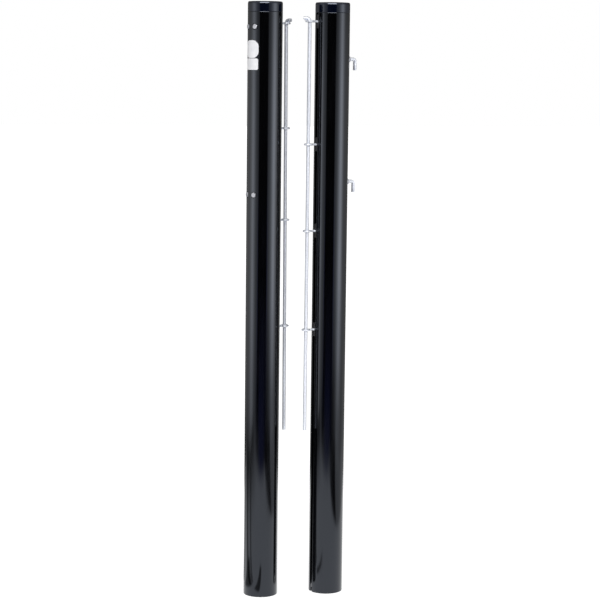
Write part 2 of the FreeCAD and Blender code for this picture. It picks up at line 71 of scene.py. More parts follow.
POSTS = {
    "left": {"x": 0.0, "turn": 25.5, "eyes": (46.0, 275.5, 478.5, 716.5)},
    "right": {"x": 151.0, "turn": 195.5, "eyes": (41.5, 309.5, 500.5, 721.0)},
}
ROD_RADIUS = 3.97
ROD_BEND = 8.0
EYE_WIRE = 4.8
EYE_HOLE = 5.0
SHANK_START = 20.5
RODS = {
    "left": {"bottom": 953.5, "reach": 58.0, "slope": 0.0053, "bend": 90.0, "leg": 5.2, "turn": -76.0},
    "right": {"bottom": 948.0, "reach": 57.1, "slope": 0.0015, "bend": 104.0, "leg": 3.6, "turn": -28.0},
}


# Mesh building


def post_matrix(side, z=0.0, turn=0.0):
    """Post-local millimetres (slot along +X, z from the foot) to row metres."""
    post = POSTS[side]
    place = Matrix.Translation(Vector((post["x"], 0.0, z)) * MM)
    angle = math.radians(post["turn"] + turn)
    return place @ Matrix.Rotation(angle, 4, "Z") @ Matrix.Scale(MM, 4)


def new_piece(name, points, faces, matrix, material, sharp=30.0):
    """A mesh object from points in a local frame, with smooth faces and sharp creases."""
    mesh = bpy.data.meshes.new(name)
    mesh.from_pydata([tuple(p) for p in points], [], [tuple(f) for f in faces])
    mesh.transform(matrix)
    bm = bmesh.new()
    bm.from_mesh(mesh)
    bmesh.ops.recalc_face_normals(bm, faces=bm.faces)
    bm.to_mesh(mesh)
    bm.free()
    mesh.polygons.foreach_set("use_smooth", [True] * len(mesh.polygons))
    mesh.set_sharp_from_angle(angle=math.radians(sharp))
    mesh.materials.append(material)
    piece = bpy.data.objects.new(name, mesh)
    bpy.context.scene.collection.objects.link(piece)
    return piece


class Parts:
    """Collects several pieces of geometry into one mesh."""

    def __init__(self):
        self.points = []
        self.faces = []

    def add(self, points, faces, matrix=None):
        start = len(self.points)
        for p in points:
            v = Vector(p)
            self.points.append(matrix @ v if matrix else v)
        self.faces += [[i + start for i in face] for face in faces]
        return self


def grid_faces(rows, columns, closed=True):
    """Quads between successive rings of points."""
    faces = []
    last = columns if closed else columns - 1
    for i in range(rows - 1):
        for j in range(last):
            k = (j + 1) % columns
            a = i * columns
            b = a + columns
            faces.append((a + j, a + k, b + k, b + j))
    return faces


def lathe(profile, segments=96):
    """Turns a closed profile of (radius, z) round the z axis."""
    points = []
    for r, z in profile:
        for j in range(segments):
            a = 2 * math.pi * j / segments
            points.append((r * math.cos(a), r * math.sin(a), z))
    return points, grid_faces(len(profile), segments)


def closed_lathe(profile, segments=96):
    """As lathe, for a profile that comes back to its start, such as a ring's."""
    points, faces = lathe(profile, segments)
    rows = len(profile)
    last = (rows - 1) * segments
    for j in range(segments):
        k = (j + 1) % segments
        faces.append((last + j, last + k, k, j))
    return points, faces


def arc(cx, cy, r, a0, a1, count):
    """Points of an arc, angles in degrees."""
    angles = np.radians(np.linspace(a0, a1, count))
    return [(cx + r * math.cos(a), cy + r * math.sin(a)) for a in angles]


def frames_along(path):
    """A steady cross-frame at each point of a path."""
    path = [Vector(p) for p in path]
    tangents = []
    for i in range(len(path)):
        a = path[max(i - 1, 0)]
        b = path[min(i + 1, len(path) - 1)]
        tangents.append((b - a).normalized())
    side = tangents[0].orthogonal().normalized()
    frames = []
    for p, tangent in zip(path, tangents):
        side = (side - tangent * side.dot(tangent)).normalized()
        frames.append((p, side, tangent.cross(side)))
    return frames


def sweep(path, radii, sides=24):
    """A round bar along a path, with closed ends."""
    points = []
    frames = frames_along(path)
    for (p, u, v), r in zip(frames, radii):
        for j in range(sides):
            a = 2 * math.pi * j / sides
            points.append(p + (u * math.cos(a) + v * math.sin(a)) * r)
    faces = grid_faces(len(frames), sides)
    faces.append(tuple(range(sides))[::-1])
    last = (len(frames) - 1) * sides
    faces.append(tuple(range(last, last + sides)))
    return points, faces


def blunt_ends(path, radius, bevel):
    """Adds a small bevel to both ends of a bar's path: returns the path and radii."""
    path = [Vector(p) for p in path]
    first = (path[1] - path[0]).normalized()
    last = (path[-1] - path[-2]).normalized()
    new = [path[0], path[0] + first * bevel * 0.35, path[0] + first * bevel]
    new += path[1:-1]
    new += [path[-1] - last * bevel, path[-1] - last * bevel * 0.35, path[-1]]
    radii = [radius] * len(new)
    radii[0] = radii[-1] = radius - bevel
    radii[1] = radii[-2] = radius - bevel * 0.3
    return new, radii


def threaded_bar(radius, depth, pitch, length, sides=24, steps=6):
    """A bar along +Z with a helical thread, plain for its last turn at each end."""
    rows = int(length / pitch * steps) + 1
    points = []
    for i in range(rows):
        z = length * i / (rows - 1)
        fade = min(1.0, z / pitch, (length - z) / pitch)
        for j in range(sides):
            phase = (z / pitch - j / sides) % 1.0
            cut = (1 - abs(2 * phase - 1)) * depth * fade
            a = 2 * math.pi * j / sides
            r = radius - cut
            points.append((r * math.cos(a), r * math.sin(a), z))
    faces = grid_faces(rows, sides)
    faces.append(tuple(range(sides))[::-1])
    last = (rows - 1) * sides
    faces.append(tuple(range(last, last + sides)))
    return points, faces


def hexagon_radius(flats, angle):
    """Distance from centre to side of a hexagon, in a direction given in radians."""
    local = (angle + math.pi / 6) % (math.pi / 3) - math.pi / 6
    return flats / 2 / math.cos(local)


def hex_body(flats, height, hole=0.0, both=False, per_side=8):
    """A hexagon along +Z whose corners are turned off at the top, or at both ends."""
    count = 6 * per_side
    angles = [2 * math.pi * j / count for j in range(count)]
    flat_radius = flats * 0.47
    slope = math.tan(math.radians(30))

    def ring(r, z):
        return [(r * math.cos(a), r * math.sin(a), z) for a in angles]

    def edge_ring(z, turned):
        out = []
        for a in angles:
            r = hexagon_radius(flats, a)
            drop = max(0.0, r - flat_radius) * slope * turned
            out.append((r * math.cos(a), r * math.sin(a), z - drop))
        return out

    inner = max(hole, 0.01)
    rings = [ring(inner, 0.0), ring(flat_radius, 0.0), edge_ring(0.0, -1.0 if both else 0.0)]
    rings += [edge_ring(height, 1.0), ring(flat_radius, height), ring(inner, height)]
    points = [p for r in rings for p in r]
    faces = grid_faces(len(rings), count)
    last = (len(rings) - 1) * count
    if hole:
        for j in range(count):
            k = (j + 1) % count
            faces.append((last + j, last + k, k, j))
    else:
        faces.append(tuple(range(count))[::-1])
        faces.append(tuple(range(last, last + count)))
    return points, faces


ALONG_X = Matrix.Rotation(math.radians(90), 4, "Y")
ALONG_Y = Matrix.Rotation(math.radians(-90), 4, "X")


# Materials


class Shader:
    """A small helper around one material's nodes."""

    def __init__(self, name):
        self.material = bpy.data.materials.new(name)
        self.material.use_nodes = True
        self.nodes = self.material.node_tree.nodes
        self.links = self.material.node_tree.links
        self.surface = self.nodes["Principled BSDF"]
        self.place = self.node("ShaderNodeTexCoord")

    def node(self, kind, **settings):
        made = self.nodes.new(kind)
        for key, value in settings.items():
            if key in made.inputs:
                made.inputs[key].default_value = value
            else:
                setattr(made, key, value)
        return made

    def link(self, a, b):
        self.links.new(a, b)

    def stretch(self, scale):
        """The object's own coordinates, scaled along each axis."""
        mapping = self.node("ShaderNodeMapping")
        mapping.inputs["Scale"].default_value = scale
        self.link(self.place.outputs["Object"], mapping.inputs["Vector"])
        return mapping.outputs["Vector"]

    def noise(self, scale, detail=3.0, stretch=(1, 1, 1)):
        made = self.node("ShaderNodeTexNoise", Scale=scale, Detail=detail)
        self.link(self.stretch(stretch), made.inputs["Vector"])
        return made.outputs["Fac"]

    def ramp(self, value, low, high, from_low=0.35, from_high=0.65):
        """Maps a noise value to a range of numbers."""
        made = self.node("ShaderNodeMapRange")
        made.inputs["From Min"].default_value = from_low
        made.inputs["From Max"].default_value = from_high
        made.inputs["To Min"].default_value = low
        made.inputs["To Max"].default_value = high
        self.link(value, made.inputs["Value"])
        return made.outputs["Result"]

    def colours(self, value, first, second):
        """A colour between two, by a value from 0 to 1."""
        made = self.node("ShaderNodeMix", data_type="RGBA")
        made.inputs["A"].default_value = (*first, 1)
        made.inputs["B"].default_value = (*second, 1)
        self.link(value, made.inputs["Factor"])
        return made.outputs["Result"]

    def bump(self, value, distance, strength=1.0, after=None):
        made = self.node("ShaderNodeBump", Strength=strength, Distance=distance)
        self.link(value, made.inputs["Height"])
        if after:
            self.link(after, made.inputs["Normal"])
        return made.outputs["Normal"]


def gloss_black(name, base, roughness):
    """Black enamel over metal: faint orange peel, draw lines and fine rub marks."""
    s = Shader(name)
    s.surface.inputs["Specular IOR Level"].default_value = 0.58
    s.surface.inputs["Specular Tint"].default_value = (0.79, 0.86, 1.0, 1)
    cloud = s.noise(9.0, 4.0)
    s.link(s.colours(s.ramp(cloud, 0, 1), base, tuple(c * 1.6 for c in base)), s.surface.inputs["Base Color"])
    rub = s.noise(60.0, 6.0, (1, 1, 0.12))
    s.link(s.ramp(rub, roughness, roughness + 0.07), s.surface.inputs["Roughness"])
    peel = s.bump(s.noise(420.0, 2.0), 0.000012, 0.5)
    draw = s.bump(s.noise(30.0, 3.0, (1, 1, 0.04)), 0.00005, 0.25, peel)
    s.link(draw, s.surface.inputs["Normal"])
    return s.material


def bright_zinc(name, base, roughness, grain, metallic=0.75):
    """Zinc-plated steel with a faint spangle and drawn grain."""
    s = Shader(name)
    s.surface.inputs["Metallic"].default_value = metallic
    spangle = s.noise(260.0, 3.0)
    darker = tuple(c * 0.88 for c in base)
    s.link(s.colours(s.ramp(spangle, 0, 1), darker, base), s.surface.inputs["Base Color"])
    s.link(s.ramp(s.noise(90.0, 5.0, grain), roughness, roughness + 0.16), s.surface.inputs["Roughness"])
    fine = s.bump(s.noise(700.0, 2.0, grain), 0.00003, 0.5)
    s.link(fine, s.surface.inputs["Normal"])
    return s.material


def moulded(name, base, roughness, grain_size=900.0):
    """Moulded plastic with a fine grain."""
    s = Shader(name)
    cloud = s.noise(40.0, 4.0)
    s.link(s.colours(s.ramp(cloud, 0, 1), base, tuple(c * 1.35 for c in base)), s.surface.inputs["Base Color"])
    s.link(s.ramp(s.noise(150.0, 4.0), roughness, roughness + 0.15), s.surface.inputs["Roughness"])
    s.link(s.bump(s.noise(grain_size, 3.0), 0.00005, 0.6), s.surface.inputs["Normal"])
    return s.material


def machined(name, base, roughness, grain):
    """Cast or machined metal with tool marks."""
    s = Shader(name)
    s.surface.inputs["Metallic"].default_value = 1.0
    cloud = s.noise(55.0, 4.0)
    s.link(s.colours(s.ramp(cloud, 0, 1), tuple(c * 0.75 for c in base), base), s.surface.inputs["Base Color"])
    s.link(s.ramp(s.noise(220.0, 4.0, grain), roughness, roughness + 0.2), s.surface.inputs["Roughness"])
    s.link(s.bump(s.noise(380.0, 3.0, grain), 0.00008, 0.6), s.surface.inputs["Normal"])
    return s.material


def vinyl(name):
    """Plain white label film: a little unevenness and faint dust."""
    s = Shader(name)
    cloud = s.noise(70.0, 5.0)
    white = s.colours(s.ramp(cloud, 0, 1), (0.80, 0.81, 0.83), (0.88, 0.88, 0.89))
    s.link(white, s.surface.inputs["Base Color"])
    s.link(s.ramp(s.noise(200.0, 3.0), 0.28, 0.42), s.surface.inputs["Roughness"])
    s.link(s.bump(s.noise(300.0, 2.0), 0.00003, 0.4), s.surface.inputs["Normal"])
    return s.material


POST_BLACK = gloss_black("post_enamel", (0.0008, 0.0008, 0.0010), 0.08)
CAP_BLACK = gloss_black("cap_enamel", (0.0006, 0.0014, 0.0052), 0.11)
ZINC = bright_zinc("bright_zinc", (0.90, 0.93, 1.0), 0.40, (1, 1, 0.1), 0.65)
DULL_ZINC = bright_zinc("dull_zinc", (0.59, 0.60, 0.64), 0.40, (1, 1, 1), 0.95)
SCREW_STEEL = bright_zinc("screw_steel", (0.52, 0.52, 0.53), 0.25, (1, 1, 1))
BLOCK_BLACK = moulded("block_nylon", (0.012, 0.012, 0.014), 0.42)
ROLLER_NYLON = moulded("roller_nylon", (0.72, 0.70, 0.64), 0.38)
CAST_ALUMINIUM = machined("cast_aluminium", (0.66, 0.67, 0.69), 0.38, (1, 1, 1))
BRASS = machined("machined_brass", (0.78, 0.57, 0.26), 0.24, (1, 1, 6))
LABEL_WHITE = vinyl("label_vinyl")


# Tubes and caps


def tube_section(outer_inset):
    """The slotted ring as outer points and inner points, same count, slot at angle 0."""
    outer = POST_RADIUS - outer_inset
    inner = POST_RADIUS - WALL + outer_inset * 0.5
    lip = 0.7
    mouth = SLOT_HALF + lip
    count = 220
    start_outer = math.asin(mouth / outer)
    start_inner = math.asin(mouth / inner)
    angles = np.linspace(start_outer, 2 * math.pi - start_outer, count)
    outside = [(outer * math.cos(a), outer * math.sin(a)) for a in angles]
    angles = np.linspace(start_inner, 2 * math.pi - start_inner, count)
    inside = [(inner * math.cos(a), inner * math.sin(a)) for a in angles]

    def lip_points(sign):
        """Rounds the slot's edge from the outside face to the inside face."""
        top = outside[0] if sign > 0 else outside[-1]
        low = inside[0] if sign > 0 else inside[-1]
        points = []
        for t in (30, 60, 90):
            a = math.radians(t)
            y = mouth - lip * math.sin(a)
            x = top[0] + 0.25 - lip * (1 - math.cos(a))
            points.append((x, sign * y))
        for t in (90, 60, 30):
            a = math.radians(t)
            y = mouth - lip * math.sin(a)
            x = low[0] + lip * (1 - math.cos(a))
            points.append((x, sign * y))
        return points

    first = lip_points(1.0)
    second = lip_points(-1.0)
    middle = len(first) // 2
    outside = first[:middle][::-1] + outside + second[:middle]
    inside = first[middle:] + inside + second[middle:][::-1]
    return outside, inside


def round_normals(piece, matrix):
    """Gives the tube's round face the shading of a true cylinder."""
    mesh = piece.data
    to_local = matrix.inverted()
    to_row = matrix.to_3x3().normalized()
    normals = [(0, 0, 0)] * len(mesh.loops)
    for face in mesh.polygons:
        centre = to_local @ face.center
        outward = (to_row @ Vector((centre.x, centre.y, 0))).normalized()
        if face.normal.dot(outward) < 0.98:
            continue
        for loop in face.loop_indices:
            place = to_local @ mesh.vertices[mesh.loops[loop].vertex_index].co
            if abs(math.hypot(place.x, place.y) - POST_RADIUS) < 0.05:
                normals[loop] = tuple((to_row @ Vector((place.x, place.y, 0))).normalized())
    mesh.normals_split_custom_set(normals)


def sink_seats(tube):
    """Cuts the round seats of the bolt heads, and the holes for their shanks."""
    start = 30.0
    length = 14.0
    seat = BOLT_SEAT - start
    hole = [(0.01, 0.0), (BOLT_HOLE_RADIUS, 0.0), (BOLT_HOLE_RADIUS, seat)]
    pocket = [(BOLT_SEAT_RADIUS, seat), (BOLT_SEAT_RADIUS, length), (0.01, length)]
    parts = Parts()
    for depth in BOLT_DEPTHS.values():
        for turn in BOLT_TURNS:
            aim = Matrix.Rotation(math.radians(turn), 4, "Z")
            place = aim @ Matrix.Translation((start, 0, POST_LENGTH - depth)) @ ALONG_X
            parts.add(*lathe(hole + pocket, 64), place)
    cutter = new_piece("seat_cutter", parts.points, parts.faces, post_matrix("left"), POST_BLACK)
    boolean = tube.modifiers.new("seats", "BOOLEAN")
    boolean.operation = "DIFFERENCE"
    boolean.solver = "EXACT"
    boolean.object = cutter
    ready = tube.evaluated_get(bpy.context.evaluated_depsgraph_get())
    mesh = bpy.data.meshes.new_from_object(ready)
    tube.modifiers.clear()
    tube.data = mesh
    bpy.data.objects.remove(cutter)


def make_tube(side):
    """The slotted tube, with a small worn bevel at both ends."""
    ends = [(0.0, 0.45), (0.12, 0.18), (0.25, 0.1213), (0.3, 0.1106), (0.78, 0.0085), (0.84, 0.0), (1.6, 0.0)]
    rings = ends + [(TUBE_TOP - z, inset) for z, inset in reversed(ends)]
    points = []
    for z, inset in rings:
        outside, inside = tube_section(inset)
        points += [(x, y, z) for x, y in outside + inside[::-1]]
    columns = len(points) // len(rings)
    faces = grid_faces(len(rings), columns)
    half = columns // 2
    for base in (0, (len(rings) - 1) * columns):
        for i in range(half - 1):
            a, b = base + i, base + i + 1
            c, d = base + columns - 2 - i, base + columns - 1 - i
            faces.append((a, b, c, d))
    piece = new_piece(f"{side}_post_tube", points, faces, post_matrix(side), POST_BLACK, 40)
    if side == "left":
        sink_seats(piece)
    round_normals(piece, post_matrix(side))
    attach(piece, f"{side}_post")
    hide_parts(f"{side}_tube")


def make_cap(side):
    """Hollow cap: rounded top edge, joint bevel, and a spigot that is open at the slot."""
    outer = POST_RADIUS
    spigot = outer - WALL - 0.3
    inside = spigot - 3.0
    top = [(0.01, CAP_HEIGHT - 0.25), (outer * 0.4, CAP_HEIGHT - 0.12), (outer * 0.7, CAP_HEIGHT - 0.03)]
    round_over = ((4.2, 0.0), (3.0, 0.08), (2.1, 0.27), (1.45, 0.6), (1.05, 0.98), (0.75, 1.5), (0.57, 2.0))
    taper = ((0.49, 2.32), (0.468, 2.42), (0.02, 4.5), (0.0, 4.65), (0.0, 5.4))
    rim = [(outer - inset, CAP_HEIGHT - drop) for inset, drop in round_over + taper]
    band = [(outer, 1.4)]
    bevel = [(outer, 0.7), (outer - 0.18, 0.25), (outer - 0.7, 0.0), (spigot, 0.0)]
    loop = top + rim + band + bevel + [(inside, 0.0)]
    loop += [(inside, CAP_HEIGHT - 5.5), (inside - 1.5, CAP_HEIGHT - 4.0), (0.01, CAP_HEIGHT - 4.0)]
    parts = Parts()
    parts.add(*lathe(loop, 192))
    low = -12.0
    gap_half = 22.0
    gap = math.asin(gap_half / spigot)
    count = 120
    angles = np.linspace(gap, 2 * math.pi - gap, count)
    ring_profile = [(spigot, 0.0), (spigot, low + 1.0), (spigot - 0.9, low), (inside, low), (inside, 0.0)]
    points = []
    for a in angles:
        points += [(r * math.cos(a), r * math.sin(a), z) for r, z in ring_profile]
    width = len(ring_profile)
    faces = [tuple(range(width)), tuple(range((count - 1) * width, count * width))]
    for i in range(count - 1):
        for j in range(width):
            k = (j + 1) % width
            a = i * width
            faces.append((a + j, a + k, a + width + k, a + width + j))
    parts.add(points, faces)
    matrix = post_matrix(side, TUBE_TOP)
    piece = new_piece(f"{side}_post_cap", parts.points, parts.faces, matrix, CAP_BLACK, 35)
    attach(piece, f"{side}_cap")
    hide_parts(f"{side}_cap")


# Eyebolts, slide blocks, nuts and rods


def ring_reach(side, depth):
    """Distance from the post's axis to the rod's at a depth below the top, as the rod leans a little."""
    rod = RODS[side]
    return rod["reach"] + rod["slope"] * (depth - POSTS[side]["eyes"][0])


def make_eyebolt(side, index, depth):
    """A bent-wire eyebolt with a threaded shank."""
    wire = EYE_WIRE / 2
    radius = EYE_HOLE + wire
    reach = ring_reach(side, depth)
    matrix = post_matrix(side, POST_LENGTH - depth)
    body = f"{side}_eye_{index}"
    parts = Parts()
    thread_length = 22.0
    shank = threaded_bar(wire, depth=0.38, pitch=1.06, length=thread_length)
    parts.add(*shank, Matrix.Translation((SHANK_START, 0, 0)) @ ALONG_X)
    neck = SHANK_START + thread_length
    path = [(neck - 0.5, 0, 0), (neck + 1, 0, 0), (reach - radius - 3.2, 0, 0), (reach - radius - 1.6, 0.1, 0)]
    for t in np.linspace(172, -164, 44):
        a = math.radians(t)
        path.append((reach + radius * math.cos(a), radius * math.sin(a), 0))
    bar, radii = blunt_ends(path, wire, 0.45)
    parts.add(*sweep(bar, radii, 22))
    piece = new_piece(f"{side}_eye_bolt_{index}", parts.points, parts.faces, matrix, ZINC, 40)
    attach(piece, body)
    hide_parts(f"{side}_eyebolt_{index}")

    nut_matrix = matrix @ Matrix.Translation((22.0, 0, 0)) @ ALONG_X
    nut = hex_body(flats=9.0, height=4.5, hole=2.45, both=True)
    piece = new_piece(f"{side}_nut_{index}", *nut, nut_matrix, ZINC, 25)
    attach(piece, body)
    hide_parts(f"{side}_eye_nut_{index}")


def rounded_box(low, high, bevel, segments=3):
    """A box with rounded edges, as points and faces."""
    bm = bmesh.new()
    size = Vector(high) - Vector(low)
    centre = (Vector(high) + Vector(low)) / 2
    matrix = Matrix.Translation(centre) @ Matrix.Diagonal((*size, 1.0))
    bmesh.ops.create_cube(bm, size=1.0, matrix=matrix)
    bmesh.ops.bevel(bm, geom=bm.edges[:], offset=bevel, segments=segments, profile=0.6, affect="EDGES")
    bm.verts.index_update()
    points = [v.co.copy() for v in bm.verts]
    faces = [[v.index for v in f.verts] for f in bm.faces]
    bm.free()
    return points, faces


def make_slide_block(side, index, depth):
    """The moulded block behind the slot, with a tongue that fills the slot."""
    matrix = post_matrix(side, POST_LENGTH - depth)
    parts = Parts()
    face = POST_RADIUS - WALL - 0.35
    count = 17
    ys = np.linspace(-10.0, 10.0, count)
    section = [(math.sqrt(face ** 2 - y ** 2), y) for y in ys]
    section = section + [(26.9, 10.0), (26.5, 9.5), (26.5, -9.5), (26.9, -10.0)]
    levels = [(-15.0, 0.35), (-14.65, 0.0), (14.65, 0.0), (15.0, 0.35)]
    points = []
    for z, inset in levels:
        scale = 1 - inset / 10
        points += [(x - inset if x > 28 else x + inset, y * scale, z) for x, y in section]
    columns = len(section)
    faces = grid_faces(len(levels), columns)
    faces.append(tuple(range(columns))[::-1])
    last = (len(levels) - 1) * columns
    faces.append(tuple(range(last, last + columns)))
    parts.add(points, faces)
    parts.add(*rounded_box((32.0, -4.6, -15.0), (37.3, 4.6, 15.0), 0.5))
    collar = closed_lathe([(2.45, 0.0), (3.7, 0.0), (4.0, 0.25), (4.0, 0.5), (2.45, 0.5)], 40)
    parts.add(*collar, Matrix.Translation((37.05, 0, 0)) @ ALONG_X)
    piece = new_piece(f"{side}_block_{index}", parts.points, parts.faces, matrix, BLOCK_BLACK, 30)
    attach(piece, f"{side}_eye_{index}")
    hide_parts(f"{side}_slide_block_{index}")


def make_rod(side):
    """The lacing rod: straight through its eyes, with a bent top end that rests on the top eye."""
    rod = RODS[side]
    first_eye = POSTS[side]["eyes"][0]
    top = first_eye - EYE_WIRE / 2 - 0.3 - ROD_RADIUS
    run = rod["bottom"] - top - ROD_BEND
    turn = rod["bend"]
    path = [(0, 0, z) for z in np.linspace(0, run, 40)[:-1]]
    path += [(x, 0, z) for x, z in arc(ROD_BEND, run, ROD_BEND, 180, 180 - turn, 18)]
    end = Vector(path[-1])
    a = math.radians(turn)
    direction = Vector((math.sin(a), 0, math.cos(a)))
    path += [end + direction * rod["leg"] * t for t in (0.4, 1.0)]
    bar, radii = blunt_ends(path, ROD_RADIUS, 0.5)
    points, faces = sweep(bar, radii, 40)
    base = Vector((ring_reach(side, rod["bottom"]), 0, POST_LENGTH - rod["bottom"]))
    lean = Matrix.Rotation(-math.atan(rod["slope"]), 4, "Y")
    leg = Matrix.Rotation(math.radians(rod["turn"]), 4, "Z")
    matrix = post_matrix(side) @ Matrix.Translation(base) @ lean @ leg
    piece = new_piece(f"{side}_lacing_rod", points, faces, matrix, ZINC, 35)
    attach(piece, f"{side}_rod")
    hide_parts(f"{side}_rod")


# Bolts, hooks and label


def make_bolts(where, depth):
    """Two hex bolts on their seats: heads with turned corners, and shanks into the block."""
    parts = Parts()
    for turn in BOLT_TURNS:
        aim = Matrix.Rotation(math.radians(turn), 4, "Z")
        head = aim @ Matrix.Translation((BOLT_SEAT + 0.35, 0, 0)) @ ALONG_X
        twist = Matrix.Rotation(math.radians((turn - BOLT_TURNS[0]) / 2), 4, "Z")
        parts.add(*hex_body(BOLT_FLATS, BOLT_HEAD), head @ twist)
        bore = BOLT_RADIUS + 0.02
        collar = closed_lathe([(bore, 0.0), (4.5, 0.0), (4.65, 0.15), (4.65, 0.4), (bore, 0.4)], 48)
        parts.add(*collar, aim @ Matrix.Translation((BOLT_SEAT, 0, 0)) @ ALONG_X)
        shank = threaded_bar(BOLT_RADIUS, depth=0.4, pitch=1.0, length=BOLT_SHANK)
        parts.add(*shank, aim @ Matrix.Translation((BOLT_SEAT - BOLT_SHANK + 0.1, 0, 0)) @ ALONG_X)
    matrix = post_matrix("left", POST_LENGTH - depth)
    piece = new_piece(f"{where}_bolt_pair", parts.points, parts.faces, matrix, DULL_ZINC, 25)
    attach(piece, "left_post")
    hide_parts(f"{where}_bolts")


def make_hook(where, depth):
    """A bent rod with a threaded inner end, and the two nuts that hold it in the wall."""
    wire = ROD_RADIUS
    reach = 57.8
    bend = 5.0
    drop = 24.1
    matrix = post_matrix("right", POST_LENGTH - depth)
    parts = Parts()
    thread = threaded_bar(wire, depth=0.5, pitch=1.41, length=18.5)
    parts.add(*thread, Matrix.Translation((-45.5, 0, 0)) @ ALONG_X)
    path = [(-45.2, 0, 0), (-46.0, 0, 0), (-47.5, 0, 0)]
    path += [(-x, 0, z) for x, z in arc(reach - bend, -bend, bend, 90, 0, 14)]
    path += [(-reach, 0, -bend - 8.0), (-reach, 0, -drop)]
    bar, radii = blunt_ends(path, wire, 0.4)
    parts.add(*sweep(bar, radii, 28))
    piece = new_piece(f"{where}_cable_hook", parts.points, parts.faces, matrix, ZINC, 40)
    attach(piece, "right_post")
    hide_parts(f"{where}_hook")
    nuts = Parts()
    nut = hex_body(HOOK_NUT_FLATS, HOOK_NUT_HEIGHT, hole=4.0, both=True)
    for x in (-POST_RADIUS - HOOK_NUT_HEIGHT, -POST_RADIUS + WALL + 0.9):
        nuts.add(*nut, Matrix.Translation((x, 0, 0)) @ ALONG_X)
    piece = new_piece(f"{where}_hook_nut_pair", nuts.points, nuts.faces, matrix, DULL_ZINC, 25)
    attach(piece, "right_post")
    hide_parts(f"{where}_hook_nuts")


def make_label(where, top, height, width, corner):
    """A plain white label with round corners, wrapped on the post."""
    half = width / 2
    rows = 40
    zs = np.linspace(0, height, rows)
    lows = []
    for z in zs:
        edge = half
        inset = min(z, height - z)
        if inset < corner:
            edge = half - corner + math.sqrt(max(0.0, corner ** 2 - (corner - inset) ** 2))
        lows.append(edge)
    columns = 33
    points = []
    layers = (POST_RADIUS + 0.02, POST_RADIUS + 0.19)
    for r in layers:
        for z, edge in zip(zs, lows):
            for u in np.linspace(-1, 1, columns):
                a = math.pi + math.asin(u * edge / POST_RADIUS)
                points.append((r * math.cos(a), r * math.sin(a), z))
    faces = []
    layer = rows * columns
    for start in (0, layer):
        for i in range(rows - 1):
            for j in range(columns - 1):
                a = start + i * columns + j
                faces.append((a, a + 1, a + columns + 1, a + columns))
    rim = [j for j in range(columns)]
    rim += [i * columns + columns - 1 for i in range(1, rows)]
    rim += [(rows - 1) * columns + j for j in range(columns - 2, -1, -1)]
    rim += [i * columns for i in range(rows - 2, 0, -1)]
    for a, b in zip(rim, rim[1:] + rim[:1]):
        faces.append((a, b, b + layer, a + layer))
    matrix = post_matrix("left", POST_LENGTH - top - height)
    piece = new_piece(f"{where}_post_label", points, faces, matrix, LABEL_WHITE, 50)
    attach(piece, "left_post")
    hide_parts(f"{where}_label")


# Tensioner inside the left post


def make_lead_screw():
    """The screw between the two bearing blocks, with plain necks and a hex drive end."""
    upper_face = POST_LENGTH - BOLT_DEPTHS["upper"] - BEARING_HALF
    lower_face = POST_LENGTH - BOLT_DEPTHS["lower"] + BEARING_HALF
    play = 0.3
    neck_radius = 5.0
    parts = Parts()
    place = Matrix.Translation((SCREW_PLACE, 0, 0))
    length = upper_face - lower_face - 2 * play
    thread = threaded_bar(7.0, depth=1.7, pitch=4.0, length=length, sides=32, steps=8)
    parts.add(*thread, place @ Matrix.Translation((0, 0, lower_face + play)))
    foot, radii = blunt_ends([(0, 0, lower_face - 21.9), (0, 0, lower_face + 2)], neck_radius, 0.6)
    parts.add(*sweep(foot, radii, 32), place)
    neck_top = upper_face - play + 39.0
    neck, radii = blunt_ends([(0, 0, upper_face - 2), (0, 0, neck_top)], neck_radius, 0.6)
    parts.add(*sweep(neck, radii, 32), place)
    drive = hex_body(flats=8.0, height=11.5)
    parts.add(*drive, place @ Matrix.Translation((0, 0, neck_top - 0.5)))
    piece = new_piece("tensioner_screw", parts.points, parts.faces, post_matrix("left"), SCREW_STEEL, 25)
    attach(piece, "lead_screw")
    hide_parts("lead_screw")


def make_roller():
    """The grooved roller that turns the net's cable from level to downward."""
    bore = 3.06
    rim = 10.0
    half = 6.0
    groove = arc(10.6, 0.0, 3.4, 240, 120, 13)
    profile = [(bore, -half), (rim - 0.6, -half), (rim, -half + 0.6), (rim, -3.6)]
    profile += groove + [(rim, 3.6), (rim, half - 0.6), (rim - 0.6, half), (bore, half)]
    matrix = post_matrix("left", POST_LENGTH - ROLLER_DEPTH)
    matrix = matrix @ Matrix.Translation((ROLLER_PLACE, 0, 0)) @ ALONG_Y
    piece = new_piece("cable_roller", *closed_lathe(profile, 72), matrix, ROLLER_NYLON, 30)
    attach(piece, "guide_roller")
    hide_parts("guide_roller")


for side in POSTS:
    make_tube(side)
    make_cap(side)
    make_rod(side)
    for index, depth in enumerate(POSTS[side]["eyes"], start=1):
        make_eyebolt(side, index, depth)
        make_slide_block(side, index, depth)
for where, depth in BOLT_DEPTHS.items():
    make_bolts(where, depth)
for where, depth in HOOK_DEPTHS.items():
    make_hook(where, depth)
for where, label in LABELS.items():
    make_label(where, **label)
make_lead_screw()
make_roller()

# Nodes that keep their own solid and get a material only.
KEPT = {
    "upper_bearing": CAST_ALUMINIUM,
    "lower_bearing": CAST_ALUMINIUM,
    "carriage": BRASS,
    "cable_pin": SCREW_STEEL,
    "roller_pin": SCREW_STEEL,
}
for name, material in KEPT.items():
    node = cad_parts[name]
    node.data.materials.clear()
    node.data.materials.append(material)


# Floor, light and camera

